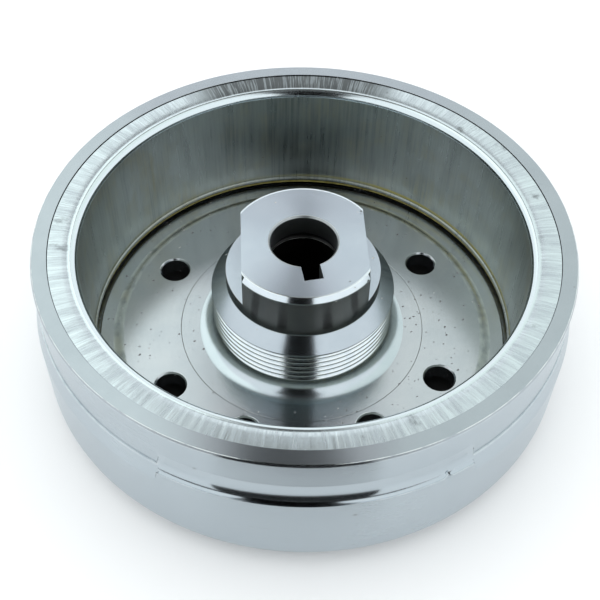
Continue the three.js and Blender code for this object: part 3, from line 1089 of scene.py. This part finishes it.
# %% The sleeve's finishes
def sleeve_wall_finish():
    """Drawn stainless: streaks up the wall, yellowish stains, tiny brown spots, olive resin at the foot."""
    material, tree, shader = new_finish("sleeve_wall_steel", 1.0)
    at = axis_coordinates(tree)
    fine = use(tree, drawn_streaks, Width=0.7, Run=26.0)
    broad = use(tree, drawn_streaks, Width=3.5, Run=18.0)
    stain = use(tree, blotches, Size=9.0, Cover=0.4, Softness=0.15)
    dots = use(tree, specks, Size=2.2, Amount=0.10, Spot=0.12)
    smear_low = ramp(tree, at.height, sleeve_foot + 0.9, sleeve_foot + 1.2)
    smear_high = ramp(tree, at.height, sleeve_foot + 1.5, sleeve_foot + 2.1, 1.0, 0.0)
    patchy = scaled(tree, use(tree, blotches, Size=5.0, Cover=0.5, Softness=0.2), 0.4, 0.6)
    patchy = times(tree, ramp(tree, at.x, -0.2, 0.75, 0.25, 1.0), patchy)
    smear = times(tree, times(tree, smear_low, smear_high), patchy)
    colour = layered(
        tree, blend_colours(tree, fine, (0.20, 0.225, 0.215, 1), (0.31, 0.345, 0.325, 1)),
        (broad, 0.5, (0.36, 0.40, 0.38, 1)),
        (times(tree, stain, fine), 0.45, (0.40, 0.36, 0.20, 1)),
        (dots, 0.6, (0.13, 0.07, 0.03, 1)),
        (smear, 1, (0.42, 0.37, 0.07, 1)),
    )
    metal = maths(tree, "SUBTRACT", 1.0, times(tree, smear, 0.9))
    tone = scaled(tree, stain, 0.08, scaled(tree, fine, 0.12, 0.26))
    complete(tree, shader, colour, tone, [(fine, 0.002), (smear, 0.05)], metallic=metal)
    return material


def sleeve_flange_finish():
    """Crimped stainless: fine streaks across the flange, rough dark patches, and a clean bright lip.

    The back of the flange, where y is near 1, is darkened in streaks as painted shade.
    """
    material, tree, shader = new_finish("sleeve_flange_steel", 1.0)
    at = axis_coordinates(tree)
    fine = use(tree, drawn_streaks, Width=0.35, Run=9.0)
    broad = use(tree, drawn_streaks, Width=2.2, Run=12.0)
    patch = use(tree, blotches, Size=7.0, Cover=0.28, Softness=0.07)
    outside = ramp(tree, at.radius, sleeve_inner + 1.4, sleeve_inner + 1.9)
    streaks = times(tree, outside, scaled(tree, broad, 0.5, times(tree, fine, 0.5)))
    patchy = times(tree, outside, times(tree, patch, scaled(tree, fine, 0.6, 0.4)))
    # Painted shade: the back of the flange is darkened in streaks; the dark patches elsewhere are the
    # steel's own.
    back = times(tree, outside, ramp(tree, at.y, 0.86, 0.95))
    painted_back_shade = times(tree, back, ramp(tree, fine, 0.4, 0.9, 1.0, 0.55))
    patches_and_back_shade = maths(tree, "MAXIMUM", patchy, painted_back_shade)
    colour = blend_colours(tree, streaks, (0.66, 0.74, 0.77, 1), (0.45, 0.50, 0.54, 1))
    colour = layered(tree, colour, (patches_and_back_shade, 0.85, (0.04, 0.04, 0.04, 1)))
    tone = scaled(tree, patches_and_back_shade, 0.15, scaled(tree, streaks, 0.16, 0.15))
    complete(tree, shader, colour, tone, [(streaks, 0.006)])
    return material


wall_steel = sleeve_wall_finish()
crimped_steel = sleeve_flange_finish()
print("finishes", wall_steel.name, crimped_steel.name)


# %% Build the sleeve
EDGE_PLAY = 0.11
BEND_RADIUS = 1.5
RIPPLE_DEPTH = 0.018


def build_sleeve():
    """The sheet's whole section as one closed outline, with the ripple added to the flange's height.

    The flange's edge touches the rim in front. Its gap grows to twice the play at the back.
    """
    columns = np.arange(0, 360, 0.375)
    outer = sleeve_inner + SLEEVE_GAUGE
    lip_top = sleeve_top - 0.45
    bend_r, bend_z = sleeve_inner + BEND_RADIUS, lip_top - BEND_RADIUS
    crimp_edge = wall_inside - 0.03
    rolled_in = sleeve_inner - 0.45
    wall, wall_wear = rounded([
        (outer, sleeve_foot, 0), (sleeve_inner - 0.1, sleeve_foot, 0.2),
        (rolled_in, sleeve_foot + 0.25, 0.15), (rolled_in, sleeve_foot + 0.7, 0.15),
        (sleeve_inner, sleeve_foot + 1.0, 0.15), (sleeve_inner, sleeve_foot + 9, 0),
        (sleeve_inner, bend_z, 0),
    ])
    mouth, mouth_wear = rounded([
        *arc(bend_r, bend_z, BEND_RADIUS, 180, 90, 12),
        (bend_r + 0.25, lip_top - 0.06, 0), (bend_r + 0.45, lip_top, 0),
        (bend_r + 1.6, sleeve_top - 0.22, 0),
        (crimp_edge, sleeve_top - 0.03, 0.05), (crimp_edge, sleeve_top - SLEEVE_GAUGE, 0.08),
        (bend_r + 0.6, lip_top - SLEEVE_GAUGE, 0),
    ])
    back, back_wear = rounded([
        *arc(bend_r, bend_z, BEND_RADIUS - SLEEVE_GAUGE, 90, 180, 6), (outer, sleeve_foot + 9, 0),
    ])
    outline = np.concatenate([wall, mouth, back])
    wear = np.concatenate([wall_wear, mouth_wear, back_wear])
    row_finish = np.concatenate([np.zeros(len(wall)), np.ones(len(mouth)), np.zeros(len(back))])
    height = np.repeat(outline[:, 1:], len(columns), axis=1)
    on_flange = np.clip((outline[:, :1] - bend_r - 0.3) / 1.2, 0, 1) * (outline[:, 1:] > lip_top - 0.5)
    near_edge = np.clip((crimp_edge - outline[:, :1]) / 0.4, 0.25, 1)
    height = height - on_flange * near_edge * RIPPLE_DEPTH * (1 + flange_ripple(columns)[None, :])
    at_edge = outline[:, :1] > crimp_edge - 0.15
    radius = outline[:, :1] - at_edge * EDGE_PLAY * (1 + np.sin(np.radians(columns)))[None, :]
    points = revolve(radius, height, columns)
    faces = grid_faces(len(outline), len(columns), round_rows=True)
    finish = np.repeat(row_finish, len(columns))
    grid = (points, faces, wear[:, None], finish)
    finishes = [wall_steel, crimped_steel]
    return make_piece("drawn_sleeve", [grid], finishes, ["magnet_sleeve"])


build_sleeve()

# %% [markdown]
# ## Resin, magnets and the parts between them
#
# Resin holds the magnets and has crept out in a thin lumpy bead under the sleeve's foot. Magnets,
# spacers and the seat ring are fully covered. Their shape in the frame is right, so they stay, and
# get the finish of sintered ferrite and of moulded plastic.


# %% Resin bead
def resin_finish():
    """Cured resin: olive, slightly cloudy, glossy under a thin coat of dust."""
    material, tree, shader = new_finish("cured_resin", 0.0, Coat_Weight=0.3, Coat_Roughness=0.15)
    cloud = use(tree, blotches, Size=2.5, Cover=0.5, Softness=0.25)
    dust = use(tree, specks, Size=0.6, Amount=0.2, Spot=0.3)
    colour = blend_colours(tree, cloud, (0.20, 0.17, 0.03, 1), (0.34, 0.30, 0.08, 1))
    colour = layered(tree, colour, (dust, 0.4, (0.5, 0.48, 0.38, 1)))
    complete(tree, shader, colour, scaled(tree, cloud, 0.2, 0.3), [(cloud, 0.03)])
    return material


def build_bead():
    """A ring of oval section. Its size swells and shrinks round the axis as a sum of waves."""
    columns = np.arange(0, 360, 1.0)
    swell = flange_ripple(columns, seed=5)
    middle_radius = (bead_high[0] - 0.5) + 0.05 * swell
    middle_height = (bead_low[2] + bead_high[2]) / 2
    half_height = (bead_high[2] - bead_low[2]) / 2 * (0.85 + 0.14 * swell)
    around = np.radians(np.arange(0, 360, 22.5))[:, None]
    radius = middle_radius + 0.42 * np.cos(around)
    height = middle_height + half_height * np.sin(around)
    grid = (revolve(radius, height, columns), grid_faces(*radius.shape, round_rows=True), 0.0, 0)
    return make_piece("resin_line", [grid], [resin_finish()], ["resin_bead"])


build_bead()


# %% Magnets, spacers and seat ring
def ferrite_finish():
    """Sintered ferrite: near-black grey, grainy, with small pale chips."""
    material, tree, shader = new_finish("ferrite", 0.15)
    grain = use(tree, fine_grain, Size=0.25)
    chips = use(tree, specks, Size=1.5, Amount=0.1, Spot=0.3)
    patches = use(tree, blotches, Size=6.0, Cover=0.5, Softness=0.2)
    colour = blend_colours(tree, patches, (0.030, 0.031, 0.033, 1), (0.055, 0.055, 0.058, 1))
    colour = layered(tree, colour, (chips, 0.5, (0.16, 0.16, 0.16, 1)))
    complete(tree, shader, colour, scaled(tree, grain, 0.2, 0.5), [(grain, 0.02), (chips, -0.05)])
    return material


def moulded_finish():
    """Moulded black plastic: fine even texture and a slightly uneven sheen."""
    material, tree, shader = new_finish("moulded_plastic", 0.0)
    grain = use(tree, fine_grain, Size=0.2)
    patches = use(tree, blotches, Size=5.0, Cover=0.5, Softness=0.25)
    colour = blend_colours(tree, patches, (0.012, 0.012, 0.013, 1), (0.020, 0.020, 0.021, 1))
    complete(tree, shader, colour, scaled(tree, patches, 0.1, 0.42), [(grain, 0.01)])
    return material


ferrite = ferrite_finish()
moulded_plastic = moulded_finish()
for name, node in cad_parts.items():
    if name.startswith("magnet_spacer") or name == "magnet_seat_ring":
        node.data.materials.clear()
        node.data.materials.append(moulded_plastic)
    elif name.startswith("magnet_") and name != "magnet_sleeve":
        node.data.materials.clear()
        node.data.materials.append(ferrite)
print("frame pieces finished:", sum(not node.hide_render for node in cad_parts.values()))

# %% [markdown]
# ## Stage and camera
#
# Polished steel shows the room more than itself. A white tent gives the even pale reflections, a tall
# gap behind the camera gives the black line down the middle of every curve, and two brighter banks light
# the lip. These pieces only show in reflections. One weak soft box lights the floor.


# %% Floor, tent and what the steel mirrors
def plain_emission(name, colour, strength):
    """A material that only glows, for the patches that stand in for a studio's walls."""
    material = bpy.data.materials.new(name)
    material.use_nodes = True
    tree = material.node_tree
    tree.nodes.clear()
    glow = add(tree, "ShaderNodeEmission")
    glow.inputs["Color"].default_value = colour
    glow.inputs["Strength"].default_value = strength
    tree.links.new(glow.outputs[0], add(tree, "ShaderNodeOutputMaterial").inputs["Surface"])
    return material


def reflection_only(piece):
    """The piece shows in reflections, but not directly, and it lights and shades nothing."""
    piece.visible_camera = False
    piece.visible_diffuse = False
    piece.visible_shadow = False
    return piece


def dome_patch(name, centre, half_width, elevations, distance, colour, brightness):
    """A patch of a dome round the origin, as a strip of rings over the top.

    Elevations run from one horizon over the zenith, so 120 is 60 on the far side. The half width is in
    degrees, given at both ends of the strip and mixed between them.
    """
    rise = np.radians(np.linspace(*elevations, 25))[:, None]
    side = np.radians(np.linspace(*half_width, 25))[:, None] * np.linspace(-1, 1, 9)[None, :]
    heading = math.radians(centre)
    ahead = np.cos(side) * np.cos(rise)
    points = np.stack([
        ahead * math.cos(heading) - np.sin(side) * math.sin(heading),
        ahead * math.sin(heading) + np.sin(side) * math.cos(heading),
        np.cos(side) * np.sin(rise),
    ], axis=-1)
    mesh = bpy.data.meshes.new(name)
    mesh.from_pydata(points.reshape(-1, 3) * distance, [], grid_faces(25, 9, round_columns=False))
    mesh.materials.append(plain_emission(name, colour, brightness))
    piece = place_object(name, mesh)
    return reflection_only(piece)


def plain_sheet(name, outline, colour, roughness):
    """A flat stage piece, such as the floor, from its outline in metres."""
    mesh = bpy.data.meshes.new(name)
    mesh.from_pydata(outline, [], [tuple(range(len(outline)))])
    mesh.materials.append(new_finish(name, 0.0, Base_Color=colour, Roughness=roughness)[0])
    piece = place_object(name, mesh)
    return piece


WHITE = (1, 1, 1, 1)
BANK_COLOUR = (0.93, 1.0, 0.97, 1)
FLOOR_HALF = 3.0
SHADE_DISC_RADIUS = 46
DOME_PATCHES = [
    ("camera_gap_low", -98, (52, 34), (0.5, 14), 0.5, WHITE, 0.004),
    ("camera_gap_high", -96, (15, 11), (13, 82), 0.51, WHITE, 0.004),
    ("overhead_gap", 88, (2.0, 9), (49, 100), 0.52, WHITE, 0.05),
    ("overhead_shade", 88, (6.5, 9), (52, 80), 0.54, WHITE, 0.8),
    ("left_bank", 125, (18, 18), (38, 75), 0.6, BANK_COLOUR, 1.5),
    ("right_bank", 50, (18, 18), (38, 75), 0.6, BANK_COLOUR, 1.15),
]
# Painted shade: outline of a dark strip on the table in front of the cup, seen only in reflections.
FRONT_SHADE_OUTLINE = [(-0.040, -0.082, 0.0005), (-0.27, -0.5, 0.0005), (0.17, -0.5, 0.0005), (0.025, -0.082, 0.0005)]


def build_stage():
    """Pale floor, a dark disc of painted shade under the cup, the tent, its dark gaps and two bright sides.

    The front table shade is a dark strip seen only in reflections: painted shade on the table in front of
    the cup.
    """
    low = -0.3 * MM
    corners = [(-1, -1), (1, -1), (1, 1), (-1, 1)]
    floor = [(FLOOR_HALF * x, FLOOR_HALF * y, low) for x, y in corners]
    plain_sheet("pale_floor", floor, (0.95, 0.95, 0.95, 1), 0.6)
    turn = np.radians(np.arange(0, 360, 5))
    # Painted shade: a near-black disc under the cup stands for the shade beneath it, seen through the bolt
    # holes.
    shade_disc = np.stack([np.cos(turn), np.sin(turn), np.zeros(72)], axis=-1) * SHADE_DISC_RADIUS * MM + [0, 0, low / 2]
    plain_sheet("under_cup_shade", [tuple(point) for point in shade_disc], (0.01, 0.01, 0.01, 1), 1.0)
    world = bpy.data.worlds.new("white_tent")
    world.use_nodes = True
    background = world.node_tree.nodes["Background"]
    background.inputs["Color"].default_value = (0.96, 0.99, 1.0, 1)
    background.inputs["Strength"].default_value = 1.2
    bpy.context.scene.world = world
    for values in DOME_PATCHES:
        dome_patch(*values)
    reflection_only(plain_sheet("front_table_shade", FRONT_SHADE_OUTLINE, (0.004, 0.004, 0.004, 1), 1.0))


def build_soft_box():
    """A wide, weak light high on the left. It falls on the floor and isn't mirrored in the steel."""
    light = bpy.data.lights.new("soft_box", "AREA")
    light.size = 1.2
    light.energy = 2.0
    lamp = place_object("soft_box", light)
    lamp.location = (-0.5, -0.3, 1.3)
    lamp.rotation_euler = (-lamp.location).to_track_quat("-Z", "Y").to_euler()
    lamp.visible_glossy = False
    return lamp


build_stage()
build_soft_box()
bpy.context.scene.view_settings.view_transform = "Standard"
print("stage ready")


# %% Camera
def build_camera():
    """Looks down at the boss from in front.

    The place is in millimetres. Heading, pitch and roll are in degrees.
    """
    place = Vector((-10.2, -145.2, 184.2)) * MM
    heading, pitch, roll = (math.radians(v) for v in (2.35, 50.17, 0.31))
    level_share = math.cos(pitch)
    ahead = Vector((math.sin(heading) * level_share, math.cos(heading) * level_share, -math.sin(pitch)))
    level = ahead.cross(Vector((0, 0, 1))).normalized()
    over = level.cross(ahead)
    right = level * math.cos(roll) + over * math.sin(roll)
    up = right.cross(ahead)
    data = bpy.data.cameras.new("camera")
    data.sensor_width = 36
    data.lens = 60
    data.shift_x = 0.028
    data.shift_y = 0.0215
    data.clip_start = 0.01
    data.clip_end = 20
    camera = place_object("camera", data)
    turn = Matrix((right, up, -ahead)).transposed()
    camera.matrix_world = Matrix.Translation(place) @ turn.to_4x4()
    bpy.context.scene.camera = camera
    return camera


build_camera()
print("camera ready")
